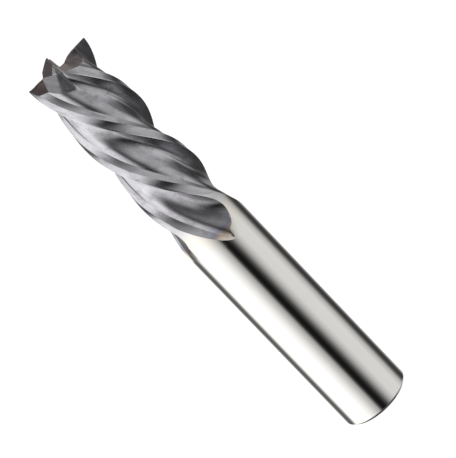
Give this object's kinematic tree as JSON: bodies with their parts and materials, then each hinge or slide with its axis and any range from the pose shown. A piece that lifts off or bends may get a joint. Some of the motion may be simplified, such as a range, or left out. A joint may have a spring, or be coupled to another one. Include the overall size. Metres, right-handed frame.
{
  "type": "square end mill",
  "caption": "Solid carbide square end mill: helical fluted cutting part with centre-cutting end teeth, run-outs and a plain cylindrical shank with a chamfered end.",
  "frame": {"origin": "centre of the shank's end face", "axes": "+Z along the tool's axis, from the shank to the cutting end"},
  "size_m": [0.0126, 0.0126, 0.0825],
  "materials": {
    "coated_carbide": "dark grey hard coating over ground carbide, satin",
    "bare_carbide": "bare carbide, ground and polished"
  },
  "bodies": {
    "root": {"fluted_head": "coated_carbide", "shank": "bare_carbide"}
  },
  "joints": []
}
